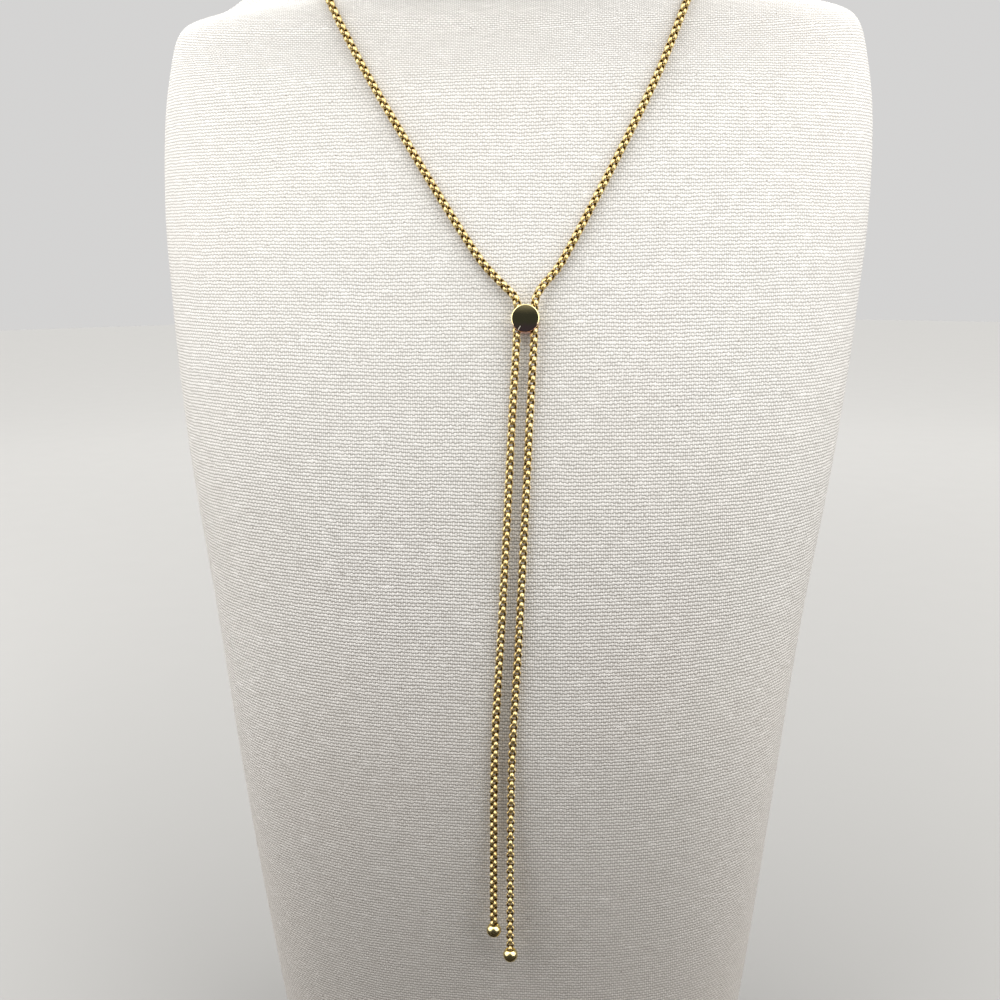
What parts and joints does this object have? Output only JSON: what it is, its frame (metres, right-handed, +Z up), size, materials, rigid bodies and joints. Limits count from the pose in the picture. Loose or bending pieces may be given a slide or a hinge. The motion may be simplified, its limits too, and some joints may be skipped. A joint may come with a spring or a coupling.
{
  "type": "y necklace on a neck bust",
  "caption": "Gold slider lariat necklace of rounded box chain with a round disc slider and ball ends, worn on a plain linen-covered neck bust.",
  "frame": {"origin": "middle of the whole object's width and depth, on the plane the bust stands on", "axes": "+Z up, the bust faces -Y, +X is the wearer's left and the picture's right"},
  "size_m": [0.23, 0.1357, 0.48],
  "materials": {
    "linen": "plain woven natural linen, matte",
    "chain_gold": "gold plated, polished links",
    "polished_gold": "gold plated, mirror polished"
  },
  "bodies": {
    "root": {"bust": "linen", "chain": "chain_gold", "slider": "polished_gold", "end_ball_left": "polished_gold", "end_ball_right": "polished_gold"}
  },
  "joints": []
}
